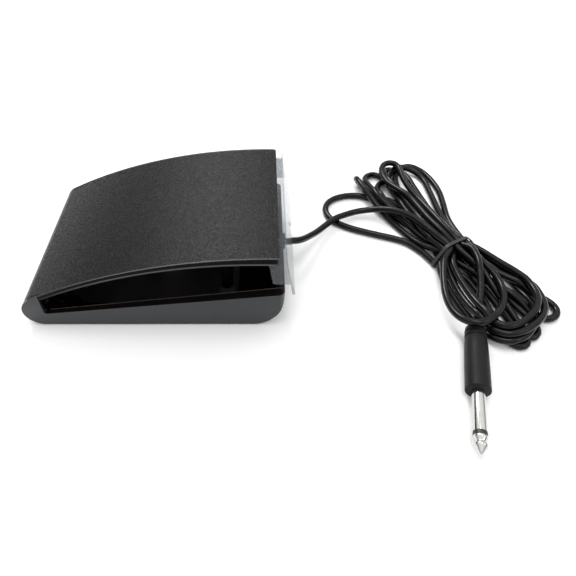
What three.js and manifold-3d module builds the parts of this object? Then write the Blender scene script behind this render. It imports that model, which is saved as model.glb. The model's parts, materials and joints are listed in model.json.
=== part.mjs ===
// Sustain pedal with a free cord and a 6.35 mm mono plug, in millimetres, +Z up.
// The finished group stands on z = 0 with its origin under the middle of the pedal.
// Pedal pieces are drawn with x measured from the nose tip towards the rear wall,
// y across the pedal (0 on the centre line) and z up from the floor.
import * as THREE from 'three';
import { mergeVertices } from 'three/addons/utils/BufferGeometryUtils.js';
import Module from 'manifold-3d';

const wasm = await Module();
wasm.setup();

// Overall sizes
const BASE_LENGTH = 134;
const GUARD_REACH = 5;
const OVERALL_LENGTH = BASE_LENGTH + GUARD_REACH;
const WIDTH = 94;
const HALF_WIDTH = WIDTH / 2;
const HEIGHT = 48;
const FLOOR_CLEARANCE = 0.8;
const GAP = 0.3;

// Nose and curved top
const NOSE_RADIUS = 9.6;
const NOSE = { x: NOSE_RADIUS, z: NOSE_RADIUS + FLOOR_CLEARANCE };
const APEX_X = 127;
const RISE = HEIGHT - NOSE.z;
const RUN = APEX_X - NOSE.x;
const TOP_RADIUS = (RUN ** 2 + RISE ** 2 - NOSE_RADIUS ** 2) / (2 * (RISE - NOSE_RADIUS));
const TOP_CENTRE = { x: APEX_X, z: HEIGHT - TOP_RADIUS };
const TANGENT_ANGLE = Math.atan2(NOSE.z - TOP_CENTRE.z, NOSE.x - TOP_CENTRE.x);

// Base shell
const WALL = 2.2;
const REAR_WALL = 2.6;
const SLOT_FRONT_X = 10.8;
const RIM_SLOPE = 0.1186;
const RIM_HEIGHT_AT_NOSE = 7.66;
const RIM_THICKNESS = 2;
const RIM_LAND_FRONT = 3;
const RIM_LAND_REAR = 5.4;
const RIM_LAND_BACK = 4.4;
const REAR_CURVE = { x: 118, z: 20.8, across: 16, up: 20 };
const SHELL_CORNER = 3;
const SHELL_FLOOR_TOP = 5.2;
const COVER_LEDGE_Z = 3.5;
const COVER = { x0: 15.8, x1: 115.7, halfWidth: 42.1, top: 3.2, corner: 4 };
const SHELL_OPENING = { x0: 20, x1: 110, halfWidth: 36, corner: 3 };
const FOOT_PAD = { x0: 28, x1: 100, halfWidth: 33, corner: 3, top: 1.5 };
const COVER_SCREW = {
  x: [24, 108],
  y: [-38, 38],
  headRadius: 2.7,
  headHeight: 1.4,
  shankRadius: 1.2,
  length: 7,
  bossRadius: 3.6,
  bossTop: 9,
};
const SCREW_HOLE_RADIUS = 1.5;

// Cord exit: grommet in the rear wall and clamp behind it
const CORD_RADIUS = 2;
const CORD_EXIT_Z = 17.5;
const CORD_BORE_RADIUS = CORD_RADIUS + GAP;
const GROMMET = { x: 129.9, flangeRadius: 4.6, flange: 1.2, neckRadius: 3.5, neckEnd: 4.4, length: 5.4 };
const GROMMET_BOSS_RADIUS = 5.6;
const CLAMP = { x: 125, halfLength: 2.5, halfWidth: 8.8, plate: 2.2, saddleRadius: 4, screwY: [-6.6, 6.6] };
const CLAMP_HOLE_RADIUS = 1.4;

// Treadle
const TREADLE_REAR_X = 130.5;
const SKIN = 2.4;
const LIP_WIDTH = 1.5;
const NOSE_HALF_WIDTH = HALF_WIDTH - WALL - GAP;
const WRAP_END = THREE.MathUtils.degToRad(255);
const FLOOR_LIP_START = THREE.MathUtils.degToRad(257.5);
const HINGE_PIN_RADIUS = 1.5;
const HINGE_EYE_RADIUS = 5.5;
const HINGE_LUGS = [[-38.2, -34.6], [34.6, 38.2]];
const HINGE_EARS = [[-34.2, -30.4], [30.4, 34.2]];
const TREADLE_CORNER = 1.6;
const RIB = { y: [-30, 0, 30], x: [36, 82, 114], halfThickness: 0.8, depth: 3.6 };

// Spring, stops and switch
const SPRING = { x: 60, meanRadius: 5, wire: 0.6, turns: 7, z0: 5.1, z1: 33.1 };
const STOP_X = 104;
const STOP_Y = [-30, 30];
const STOP_LEG_Z = 13.25;
const STOP_SPIGOT = { radius: 2.2, top: 5 };
const STOP_BUMPER_TOP = 9;
const SWITCH = { x0: 76, length: 27.8, y0: 12, thickness: 10.3, z0: 6, height: 15.9 };
const SWITCH_TOP = SWITCH.z0 + SWITCH.height;
const SWITCH_MID_Y = SWITCH.y0 + SWITCH.thickness / 2;
const SWITCH_SCREW_X = [SWITCH.x0 + 2.8, SWITCH.x0 + 25];
const SWITCH_SCREW_Z = SWITCH.z0 + 2.9;
const SWITCH_SCREW_HOLE = 1.7;
const SWITCH_BRACKET = { thickness: 2, top: 20 };
const LEVER_PIVOT = { x: 78.6, z: 23.6 };
const LEVER_ANGLE = THREE.MathUtils.degToRad(11);
const LEVER_LENGTH = 24;
const LEVER_HALF_WIDTH = 2.4;
const LEVER_PIN_RADIUS = 0.6;
const STRIKER = { x: 100, bottom: 28.5, halfLength: 1.5, halfWidth: 2.5 };
const PLUNGER = { x: 88, bottom: 18.6, top: 24.8, halfLength: 1.6, halfWidth: 2 };
const TERMINAL = { z: [9, 14.5], length: 6.4, halfWidth: 2.4, thickness: 0.8, eyeRadius: 0.9 };
const INNER_WIRE_RADIUS = 0.65;

// Clear rear guard
const GUARD = { sheet: 0.7, topX: 133.8, topZ: 46.2, bottomX: 138.2, bottomZ: 24.2 };
const GUARD_SHELF = { z: 43, sheet: 0.6 };
const GUARD_TAB = { outerY: 45.2, sheet: 0.5, frontTopX: 125.6, frontBottomX: 127.8, bottomZ: 29.3 };
const GUARD_TAB_CORNER = 1.6;
const CORD_NOTCH_RADIUS = 5;

// Cord, hank and plug, placed from the finished group's origin
const PLUG_SHOULDER = { x: 154.3, y: -91.9, z: 6.1 };
const PLUG_HEADING = THREE.MathUtils.degToRad(256);
const GRIP_LENGTH = 38;
const GRIP_GROOVES = [3, 6];
const SLEEVE_RADIUS = 3.175;
const HANK_TOP = 12;
const TIE_CENTRE = { x: 168.5, y: 5.5 };
const TIE_HEADING = THREE.MathUtils.degToRad(-58);
const HANK_WAIST = 12.3;

const LEAD_ROUTE = [
  [51, 0, 17.5], [58, 0, 17.5], [64.5, 0, 17.5], [69, 0.3, 17.3], [73, 2, 16.4], [77, 6, 14.6],
  [81.5, 12.2, 12.2], [86.5, 19, 9.8], [92, 26.5, 8], [98.5, 33.6, 7], [106, 39, 6.5], [114, 43.2, 6.3],
  [123, 46.2, 6.2], [131.6, 47.4, 6.2],
];
const LOOSE_LOOP_ROUTE = [
  [126.8, 62, 2.2], [118, 63.6, 2.05], [108.5, 62.6, 2.05], [99.5, 58, 2.05], [95.2, 51.5, 2.05],
  [95, 44, 2.05], [98.5, 37, 2.05], [106, 31, 2.05], [116, 26.5, 2.05], [127, 22.5, 2.05],
  [136, 19.4, 2.05], [143, 16.4, 2.2],
];
const HANK_OUTLINE = [
  [156, -6], [149, 9], [141, 26], [134, 44], [128.5, 62], [124, 79], [136, 87], [150, 101], [165, 95],
  [175.5, 77], [177, 50], [179, 24], [191, 8], [204.5, -11], [212, -33], [209.5, -48], [196, -57],
  [182, -59], [171.5, -54.5], [161, -52.5], [156, -40], [157.5, -21],
];

const FINISH = {
  treadle: { color: 0x1d1e1f, roughness: 0.5, metalness: 0 },
  shell: { color: 0x2b2e31, roughness: 0.45, metalness: 0 },
  inner: { color: 0x161616, roughness: 0.6, metalness: 0 },
  rubber: { color: 0x121212, roughness: 0.85, metalness: 0 },
  clear: { color: 0xd8dee0, roughness: 0.1, metalness: 0 },
  cord: { color: 0x0c0d0e, roughness: 0.3, metalness: 0 },
  grip: { color: 0x242526, roughness: 0.5, metalness: 0 },
  nickel: { color: 0xb9bcbe, roughness: 0.2, metalness: 1 },
  steel: { color: 0x9a9da0, roughness: 0.35, metalness: 1 },
  brass: { color: 0xb08d4a, roughness: 0.3, metalness: 1 },
};

// ---- Making and joining solids ------------------------------------------------------

function solidFrom(geometry) {
  const bare = geometry.clone();
  bare.deleteAttribute('normal');
  bare.deleteAttribute('uv');
  const merged = mergeVertices(bare, 1e-4);
  return new wasm.Manifold(new wasm.Mesh({
    numProp: 3,
    vertProperties: new Float32Array(merged.attributes.position.array),
    triVerts: new Uint32Array(merged.index.array),
  }));
}

function geometryFrom(solid) {
  const mesh = solid.getMesh();
  const geometry = new THREE.BufferGeometry();
  geometry.setAttribute('position', new THREE.BufferAttribute(new Float32Array(mesh.vertProperties), 3));
  geometry.setIndex(new THREE.BufferAttribute(new Uint32Array(mesh.triVerts), 1));
  geometry.computeVertexNormals();
  return geometry;
}

function join(geometries) {
  return geometries.map(solidFrom).reduce((whole, piece) => whole.add(piece));
}

function cut(solid, geometries) {
  return geometries.map(solidFrom).reduce((whole, piece) => whole.subtract(piece), solid);
}

function named(name, geometry, finish) {
  const mesh = new THREE.Mesh(geometry, new THREE.MeshStandardMaterial(FINISH[finish]));
  mesh.name = name;
  return mesh;
}

// A side-view outline (x, z) carried across the pedal from y0 to y1.
function across(shape, y0, y1, curveSegments = 14) {
  const geometry = new THREE.ExtrudeGeometry(shape, { depth: y1 - y0, bevelEnabled: false, curveSegments });
  geometry.rotateX(Math.PI / 2);
  geometry.translate(0, y1, 0);
  return geometry;
}

// A plan outline (x, y) carried up from z0 to z1.
function upright(shape, z0, z1, curveSegments = 6) {
  const geometry = new THREE.ExtrudeGeometry(shape, { depth: z1 - z0, bevelEnabled: false, curveSegments });
  geometry.translate(0, 0, z0);
  return geometry;
}

function block(x0, x1, y0, y1, z0, z1) {
  const geometry = new THREE.BoxGeometry(x1 - x0, y1 - y0, z1 - z0);
  geometry.translate((x0 + x1) / 2, (y0 + y1) / 2, (z0 + z1) / 2);
  return geometry;
}

function post(x, y, z0, z1, radius, topRadius = radius, sides = 20) {
  const geometry = new THREE.CylinderGeometry(topRadius, radius, z1 - z0, sides);
  geometry.rotateX(Math.PI / 2);
  geometry.translate(x, y, (z0 + z1) / 2);
  return geometry;
}

function crossRod(x, z, y0, y1, radius, sides = 24) {
  const geometry = new THREE.CylinderGeometry(radius, radius, y1 - y0, sides);
  geometry.translate(x, (y0 + y1) / 2, z);
  return geometry;
}

function lengthwiseRod(y, z, x0, x1, radius, sides = 20) {
  const geometry = new THREE.CylinderGeometry(radius, radius, x1 - x0, sides);
  geometry.rotateZ(Math.PI / 2);
  geometry.translate((x0 + x1) / 2, y, z);
  return geometry;
}

// A turned piece along +X from [distance along the axis, radius] pairs.
function turned(profile, sides = 24) {
  const points = profile.map(([along, radius]) => new THREE.Vector2(radius, along));
  const geometry = new THREE.LatheGeometry(points, sides);
  geometry.rotateZ(-Math.PI / 2);
  return geometry;
}

function polygon(points) {
  return new THREE.Shape(points.map(([u, v]) => new THREE.Vector2(u, v)));
}

function roundedPlan(x0, x1, halfWidth, corner) {
  const shape = new THREE.Shape();
  shape.moveTo(x0 + corner, -halfWidth);
  shape.lineTo(x1 - corner, -halfWidth);
  shape.absarc(x1 - corner, -halfWidth + corner, corner, -Math.PI / 2, 0, false);
  shape.lineTo(x1, halfWidth - corner);
  shape.absarc(x1 - corner, halfWidth - corner, corner, 0, Math.PI / 2, false);
  shape.lineTo(x0 + corner, halfWidth);
  shape.absarc(x0 + corner, halfWidth - corner, corner, Math.PI / 2, Math.PI, false);
  shape.lineTo(x0, -halfWidth + corner);
  shape.absarc(x0 + corner, -halfWidth + corner, corner, Math.PI, Math.PI * 1.5, false);
  return shape;
}

function tubeAlong(points, radius, steps, sides) {
  const route = new THREE.CatmullRomCurve3(points.map((p) => new THREE.Vector3(...p)), false, 'centripetal');
  const section = new THREE.Shape();
  section.absarc(0, 0, radius, 0, Math.PI * 2, false);
  return new THREE.ExtrudeGeometry(section, {
    steps,
    bevelEnabled: false,
    extrudePath: route,
    curveSegments: sides / 2,
  });
}

// ---- Shared curves ------------------------------------------------------------------

function topHeight(x) {
  return TOP_CENTRE.z + Math.sqrt(TOP_RADIUS ** 2 - (x - TOP_CENTRE.x) ** 2);
}

function topAngle(x, radius = TOP_RADIUS) {
  return Math.acos((x - TOP_CENTRE.x) / radius);
}

function rimHeight(x) {
  return RIM_HEIGHT_AT_NOSE + RIM_SLOPE * x;
}

// ---- Base shell ---------------------------------------------------------------------

function sideWallShape() {
  const shape = new THREE.Shape();
  shape.moveTo(NOSE.x, FLOOR_CLEARANCE);
  shape.lineTo(REAR_CURVE.x, FLOOR_CLEARANCE);
  shape.absellipse(REAR_CURVE.x, REAR_CURVE.z, REAR_CURVE.across, REAR_CURVE.up, -Math.PI / 2, 0, false);
  shape.lineTo(BASE_LENGTH, rimHeight(BASE_LENGTH));
  shape.lineTo(SLOT_FRONT_X + 2, rimHeight(SLOT_FRONT_X + 2));
  shape.quadraticCurveTo(SLOT_FRONT_X, rimHeight(SLOT_FRONT_X), SLOT_FRONT_X, rimHeight(SLOT_FRONT_X) + 2);
  shape.lineTo(SLOT_FRONT_X, topHeight(SLOT_FRONT_X));
  shape.absarc(TOP_CENTRE.x, TOP_CENTRE.z, TOP_RADIUS, topAngle(SLOT_FRONT_X), TANGENT_ANGLE, false);
  shape.absarc(NOSE.x, NOSE.z, NOSE_RADIUS, TANGENT_ANGLE, Math.PI * 1.5, false);
  return shape;
}

function floorAndRearWallShape() {
  const lipInner = NOSE_RADIUS - SKIN;
  const shape = new THREE.Shape();
  shape.absarc(NOSE.x, NOSE.z, NOSE_RADIUS, FLOOR_LIP_START, Math.PI * 1.5, false);
  shape.lineTo(REAR_CURVE.x, FLOOR_CLEARANCE);
  shape.absellipse(REAR_CURVE.x, REAR_CURVE.z, REAR_CURVE.across, REAR_CURVE.up, -Math.PI / 2, 0, false);
  shape.lineTo(BASE_LENGTH, rimHeight(BASE_LENGTH));
  shape.lineTo(BASE_LENGTH - REAR_WALL, rimHeight(BASE_LENGTH - REAR_WALL));
  shape.absellipse(REAR_CURVE.x, REAR_CURVE.z, REAR_CURVE.across - REAR_WALL,
    REAR_CURVE.z - SHELL_FLOOR_TOP, 0, -Math.PI / 2, true);
  shape.lineTo(SHELL_OPENING.x0 - 1, SHELL_FLOOR_TOP);
  shape.lineTo(NOSE.x + 5, NOSE.z - lipInner);
  shape.absarc(NOSE.x, NOSE.z, lipInner, Math.PI * 1.5, FLOOR_LIP_START, true);
  return shape;
}

function rimLand() {
  const strip = polygon([
    [SLOT_FRONT_X + 2, rimHeight(SLOT_FRONT_X + 2) - RIM_THICKNESS],
    [BASE_LENGTH - 1, rimHeight(BASE_LENGTH - 1) - RIM_THICKNESS],
    [BASE_LENGTH - 1, rimHeight(BASE_LENGTH - 1)],
    [SLOT_FRONT_X + 2, rimHeight(SLOT_FRONT_X + 2)],
  ]);
  const openingRearX = BASE_LENGTH - RIM_LAND_BACK;
  const opening = polygon([
    [0, -HALF_WIDTH + RIM_LAND_FRONT],
    [openingRearX, -HALF_WIDTH + RIM_LAND_REAR],
    [openingRearX, HALF_WIDTH - RIM_LAND_REAR],
    [0, HALF_WIDTH - RIM_LAND_FRONT],
  ]);
  return cut(solidFrom(across(strip, -HALF_WIDTH + 1, HALF_WIDTH - 1)), [upright(opening, 0, HEIGHT)]);
}

// An ear is a round eye on a foot that leans back onto the shell's floor.
function hingeEarShape() {
  const eyeStart = 0.4;
  const shape = new THREE.Shape();
  shape.moveTo(NOSE.x, NOSE.z - NOSE_RADIUS + SKIN + GAP);
  shape.lineTo(SHELL_OPENING.x0 + 4, SHELL_FLOOR_TOP - 1.5);
  shape.absarc(NOSE.x, NOSE.z, HINGE_EYE_RADIUS, eyeStart, Math.PI, false);
  return shape;
}

function coverScrewPlaces() {
  return COVER_SCREW.x.flatMap((x) => COVER_SCREW.y.map((y) => [x, y]));
}

function baseShell() {
  const side = sideWallShape();
  let shell = join([
    across(side, -HALF_WIDTH, -HALF_WIDTH + WALL),
    across(side, HALF_WIDTH - WALL, HALF_WIDTH),
    across(floorAndRearWallShape(), -HALF_WIDTH + 1, HALF_WIDTH - 1),
  ]).add(rimLand());
  const coverSeat = roundedPlan(COVER.x0 - GAP, COVER.x1 + GAP, COVER.halfWidth + GAP, COVER.corner);
  const floorOpening = roundedPlan(
    SHELL_OPENING.x0, SHELL_OPENING.x1, SHELL_OPENING.halfWidth, SHELL_OPENING.corner);
  shell = cut(shell, [upright(coverSeat, 0, COVER_LEDGE_Z), upright(floorOpening, 0, SHELL_FLOOR_TOP + 1)]);
  const clampSeatTop = CORD_EXIT_Z - CORD_RADIUS - GAP;
  const additions = [
    block(CLAMP.x - 3.5, CLAMP.x + 3.5, -CLAMP.halfWidth - 0.7, CLAMP.halfWidth + 0.7, 6, clampSeatTop),
    lengthwiseRod(0, CORD_EXIT_Z, BASE_LENGTH - 3.5, BASE_LENGTH - 0.1, GROMMET_BOSS_RADIUS, 28),
  ];
  for (const [y0, y1] of HINGE_EARS) additions.push(across(hingeEarShape(), y0, y1, 8));
  for (const [x, y] of coverScrewPlaces()) {
    additions.push(post(x, y, COVER_LEDGE_Z + 0.2, COVER_SCREW.bossTop, COVER_SCREW.bossRadius));
  }
  shell = shell.add(join(additions));
  const holes = [
    lengthwiseRod(0, CORD_EXIT_Z, BASE_LENGTH - 5, BASE_LENGTH + 4, GROMMET.neckRadius + GAP),
    lengthwiseRod(0, CORD_EXIT_Z, BASE_LENGTH - 5, BASE_LENGTH - REAR_WALL, GROMMET.flangeRadius + GAP),
    crossRod(NOSE.x, NOSE.z, -40, 40, HINGE_PIN_RADIUS + GAP, 16),
  ];
  for (const [x, y] of coverScrewPlaces()) {
    holes.push(post(x, y, 0, COVER_SCREW.bossTop - 0.8, SCREW_HOLE_RADIUS, SCREW_HOLE_RADIUS, 12));
  }
  for (const y of CLAMP.screwY) {
    holes.push(post(CLAMP.x, y, 8.5, 18, CLAMP_HOLE_RADIUS, CLAMP_HOLE_RADIUS, 12));
  }
  shell = cut(shell, holes);
  const plan = upright(roundedPlan(-12, BASE_LENGTH, HALF_WIDTH, SHELL_CORNER), -1, HEIGHT);
  return named('base_shell', geometryFrom(shell.intersect(solidFrom(plan))), 'shell');
}

// ---- Bottom cover, pad and fasteners -------------------------------------------------

function bottomCover() {
  const springSeatTop = SPRING.z0 - SPRING.wire - GAP;
  const bracketBack = SWITCH.y0 - GAP;
  const pieces = [
    upright(roundedPlan(COVER.x0, COVER.x1, COVER.halfWidth, COVER.corner), FLOOR_CLEARANCE, COVER.top),
    post(SPRING.x, 0, COVER.top - 0.5, springSeatTop, SPRING.meanRadius + 2.5),
    post(SPRING.x, 0, COVER.top - 0.5, SPRING.z0 + 3.9, SPRING.meanRadius - 1.6, SPRING.meanRadius - 2),
    block(SWITCH.x0 - 2, SWITCH.x0 + SWITCH.length + 2, bracketBack - SWITCH_BRACKET.thickness, bracketBack,
      COVER.top - 0.5, SWITCH_BRACKET.top),
  ];
  for (const y of STOP_Y) {
    pieces.push(post(STOP_X, y, COVER.top - 0.5, STOP_SPIGOT.top, STOP_SPIGOT.radius, STOP_SPIGOT.radius, 16));
  }
  const cuts = [
    upright(roundedPlan(FOOT_PAD.x0, FOOT_PAD.x1, FOOT_PAD.halfWidth, FOOT_PAD.corner), 0, FOOT_PAD.top + GAP),
  ];
  for (const [x, y] of coverScrewPlaces()) {
    cuts.push(post(x, y, 0, 6, SCREW_HOLE_RADIUS, SCREW_HOLE_RADIUS, 12));
    cuts.push(post(x, y, FLOOR_CLEARANCE - 0.2, 2.4, COVER_SCREW.headRadius + 0.4, SCREW_HOLE_RADIUS, 20));
  }
  for (const x of SWITCH_SCREW_X) cuts.push(crossRod(x, SWITCH_SCREW_Z, 8, 13, SWITCH_SCREW_HOLE, 12));
  return named('bottom_cover', geometryFrom(cut(join(pieces), cuts)), 'inner');
}

function footPad() {
  const plan = roundedPlan(FOOT_PAD.x0 + GAP, FOOT_PAD.x1 - GAP, FOOT_PAD.halfWidth - GAP, FOOT_PAD.corner);
  return named('foot_pad', upright(plan, 0, FOOT_PAD.top), 'rubber');
}

// Countersunk screws, head down in the cover.
function coverScrews() {
  const { headRadius, headHeight, shankRadius, length } = COVER_SCREW;
  const profile = [[0, 0], [0, headRadius], [headHeight, shankRadius], [length - 1, shankRadius], [length, 0]];
  return coverScrewPlaces().map(([x, y], index) => {
    const geometry = turned(profile, 16);
    geometry.rotateY(-Math.PI / 2);
    geometry.translate(x, y, FLOOR_CLEARANCE + 0.15);
    return named(`cover_screw_${index + 1}`, geometry, 'steel');
  });
}

// ---- Treadle ------------------------------------------------------------------------

// The band between two curves that follow the top and the nose, outer minus inner depth.
function topBandShape(outerDepth, innerDepth, frontX, rearX) {
  const outer = TOP_RADIUS - outerDepth;
  const inner = TOP_RADIUS - innerDepth;
  const shape = new THREE.Shape();
  shape.absarc(TOP_CENTRE.x, TOP_CENTRE.z, outer, topAngle(rearX, outer), topAngle(frontX, outer), false);
  shape.absarc(TOP_CENTRE.x, TOP_CENTRE.z, inner, topAngle(frontX, inner), topAngle(rearX, inner), true);
  return shape;
}

function treadleSkinShape() {
  const inner = TOP_RADIUS - SKIN;
  const shape = new THREE.Shape();
  shape.absarc(TOP_CENTRE.x, TOP_CENTRE.z, TOP_RADIUS, topAngle(TREADLE_REAR_X), TANGENT_ANGLE, false);
  shape.absarc(NOSE.x, NOSE.z, NOSE_RADIUS, TANGENT_ANGLE, WRAP_END, false);
  shape.absarc(NOSE.x, NOSE.z, NOSE_RADIUS - SKIN, WRAP_END, TANGENT_ANGLE, true);
  shape.absarc(TOP_CENTRE.x, TOP_CENTRE.z, inner, TANGENT_ANGLE, topAngle(TREADLE_REAR_X, inner), true);
  return shape;
}

function treadleLipShape() {
  const frontX = SLOT_FRONT_X + GAP;
  const shape = new THREE.Shape();
  shape.absarc(TOP_CENTRE.x, TOP_CENTRE.z, TOP_RADIUS, topAngle(TREADLE_REAR_X), topAngle(frontX), false);
  shape.lineTo(frontX, topHeight(frontX) - 2.6);
  shape.quadraticCurveTo(67.5, 46.2, TREADLE_REAR_X, HEIGHT - 4);
  return shape;
}

// A lug fills the nose wrap on its front side and is a plain round eye behind the pin.
function hingeLugShape() {
  const shape = new THREE.Shape();
  shape.absarc(NOSE.x, NOSE.z, NOSE_RADIUS - SKIN + 0.3, TANGENT_ANGLE, WRAP_END - 0.05, false);
  shape.absarc(NOSE.x, NOSE.z, HINGE_EYE_RADIUS, WRAP_END - 0.05, TANGENT_ANGLE + Math.PI * 2, false);
  return shape;
}

function treadleUnderside() {
  const pieces = [
    post(SPRING.x, 0, 34, 42, SPRING.meanRadius + 1.8),
    post(SPRING.x, 0, 28, 35, SPRING.meanRadius - 2, SPRING.meanRadius - 1.6),
    block(TREADLE_REAR_X - 1.6, TREADLE_REAR_X, -HALF_WIDTH, HALF_WIDTH, HEIGHT - 4, HEIGHT),
    block(STRIKER.x - STRIKER.halfLength, STRIKER.x + STRIKER.halfLength,
      SWITCH_MID_Y - STRIKER.halfWidth, SWITCH_MID_Y + STRIKER.halfWidth, STRIKER.bottom, HEIGHT),
  ];
  const ribBand = topBandShape(1, SKIN + RIB.depth, 18, 124.5);
  for (const y of RIB.y) pieces.push(across(ribBand, y - RIB.halfThickness, y + RIB.halfThickness, 10));
  for (const x of RIB.x) {
    const top = topHeight(x);
    pieces.push(block(x - RIB.halfThickness, x + RIB.halfThickness, -NOSE_HALF_WIDTH, NOSE_HALF_WIDTH,
      top - SKIN - RIB.depth, top));
  }
  for (const y of STOP_Y) pieces.push(post(STOP_X, y, STOP_LEG_Z, HEIGHT, 3, 4));
  const underSkin = across(topBandShape(0.5, 45, 12, TREADLE_REAR_X), -HALF_WIDTH - 10, HALF_WIDTH + 10);
  return join(pieces).intersect(solidFrom(underSkin));
}

function treadle() {
  const skin = treadleSkinShape();
  const behindSlotFront = solidFrom(block(SLOT_FRONT_X + GAP, BASE_LENGTH, -60, 60, 0, 60));
  let whole = solidFrom(across(skin, -NOSE_HALF_WIDTH, NOSE_HALF_WIDTH));
  whole = whole.add(solidFrom(across(skin, -HALF_WIDTH, HALF_WIDTH)).intersect(behindSlotFront));
  const lip = treadleLipShape();
  whole = whole.add(join([
    across(lip, -HALF_WIDTH, -HALF_WIDTH + LIP_WIDTH),
    across(lip, HALF_WIDTH - LIP_WIDTH, HALF_WIDTH),
  ]));
  whole = whole.add(treadleUnderside());
  whole = whole.add(join(HINGE_LUGS.map(([y0, y1]) => across(hingeLugShape(), y0, y1))));
  whole = cut(whole, [crossRod(NOSE.x, NOSE.z, -42, 42, HINGE_PIN_RADIUS + GAP, 16)]);
  const plan = upright(roundedPlan(-20, TREADLE_REAR_X, HALF_WIDTH, TREADLE_CORNER), -1, HEIGHT + 1);
  return named('treadle', geometryFrom(whole.intersect(solidFrom(plan))), 'treadle');
}

function hingePin() {
  return named('hinge_pin', crossRod(NOSE.x, NOSE.z, -40.5, 40.5, HINGE_PIN_RADIUS, 16), 'steel');
}

function returnSpring() {
  const points = [];
  const perTurn = 12;
  const count = SPRING.turns * perTurn;
  for (let i = 0; i <= count; i += 1) {
    const angle = (i / perTurn) * Math.PI * 2;
    const z = SPRING.z0 + (SPRING.z1 - SPRING.z0) * (i / count);
    points.push([SPRING.x + SPRING.meanRadius * Math.cos(angle), SPRING.meanRadius * Math.sin(angle), z]);
  }
  return named('return_spring', tubeAlong(points, SPRING.wire, count, 6), 'steel');
}

function stopBumpers() {
  const boreRadius = STOP_SPIGOT.radius + GAP;
  return STOP_Y.map((y, index) => {
    const cup = cut(solidFrom(post(STOP_X, y, COVER.top + GAP, STOP_BUMPER_TOP, 4.5, 4)),
      [post(STOP_X, y, 0, STOP_SPIGOT.top + GAP, boreRadius, boreRadius, 16)]);
    return named(`stop_bumper_${index + 1}`, geometryFrom(cup), 'rubber');
  });
}

// ---- Microswitch --------------------------------------------------------------------

function switchBody() {
  const { x0, length, y0, thickness, z0 } = SWITCH;
  const pivotEars = [y0 + 0.4, y0 + thickness - 1.6].map((y) =>
    block(LEVER_PIVOT.x - 1.6, LEVER_PIVOT.x + 1.6, y, y + 1.2, SWITCH_TOP - 0.5, LEVER_PIVOT.z + 1.6));
  const wellLength = PLUNGER.halfLength + 0.4;
  const wellWidth = PLUNGER.halfWidth + 0.4;
  const cuts = [
    block(PLUNGER.x - wellLength, PLUNGER.x + wellLength, SWITCH_MID_Y - wellWidth, SWITCH_MID_Y + wellWidth,
      PLUNGER.bottom - 2.5, SWITCH_TOP + 1),
    crossRod(LEVER_PIVOT.x, LEVER_PIVOT.z, y0 - 1, y0 + thickness + 1, LEVER_PIN_RADIUS + GAP, 12),
  ];
  for (const x of SWITCH_SCREW_X) {
    cuts.push(crossRod(x, SWITCH_SCREW_Z, y0 - 1, y0 + thickness + 1, SWITCH_SCREW_HOLE, 12));
  }
  const body = join([block(x0, x0 + length, y0, y0 + thickness, z0, SWITCH_TOP), ...pivotEars]);
  return named('switch_body', geometryFrom(cut(body, cuts)), 'inner');
}

function switchPlunger() {
  const { x, bottom, top, halfLength, halfWidth } = PLUNGER;
  const button = block(x - halfLength, x + halfLength, SWITCH_MID_Y - halfWidth, SWITCH_MID_Y + halfWidth,
    bottom, top);
  return named('switch_plunger', button, 'rubber');
}

function switchLever() {
  const y0 = SWITCH_MID_Y - LEVER_HALF_WIDTH;
  const y1 = SWITCH_MID_Y + LEVER_HALF_WIDTH;
  const arm = block(0, LEVER_LENGTH, y0, y1, -0.3, 0.3);
  arm.rotateY(-LEVER_ANGLE);
  arm.translate(LEVER_PIVOT.x, 0, LEVER_PIVOT.z);
  const roll = crossRod(LEVER_PIVOT.x, LEVER_PIVOT.z, SWITCH_MID_Y - 3, SWITCH_MID_Y + 3, 1.4, 16);
  const boreRadius = LEVER_PIN_RADIUS + GAP;
  const bore = crossRod(LEVER_PIVOT.x, LEVER_PIVOT.z, SWITCH_MID_Y - 4, SWITCH_MID_Y + 4, boreRadius, 12);
  return named('switch_lever', geometryFrom(cut(join([arm, roll]), [bore])), 'steel');
}

function leverPin() {
  const { y0, thickness } = SWITCH;
  const pin = crossRod(LEVER_PIVOT.x, LEVER_PIVOT.z, y0 + 0.2, y0 + thickness - 0.2, LEVER_PIN_RADIUS, 10);
  return named('lever_pin', pin, 'steel');
}

function switchScrews() {
  return SWITCH_SCREW_X.map((x, index) => {
    const geometry = turned([[0, 0], [0, 2.6], [1.6, 2.6], [1.6, 1.4], [13.2, 1.4], [13.8, 0]], 16);
    geometry.rotateZ(-Math.PI / 2);
    geometry.translate(x, SWITCH.y0 + SWITCH.thickness + GAP + 1.6, SWITCH_SCREW_Z);
    return named(`switch_screw_${index + 1}`, geometry, 'steel');
  });
}

function switchTerminals() {
  const x = SWITCH.x0 + SWITCH.length + GAP;
  const { length, halfWidth, thickness, eyeRadius } = TERMINAL;
  return TERMINAL.z.map((z, index) => {
    const blade = block(x, x + length, SWITCH_MID_Y - halfWidth, SWITCH_MID_Y + halfWidth, z, z + thickness);
    const eye = post(x + 4, SWITCH_MID_Y, z - 1, z + 2, eyeRadius, eyeRadius, 12);
    return named(`switch_terminal_${index + 1}`, geometryFrom(cut(solidFrom(blade), [eye])), 'brass');
  });
}

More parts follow.
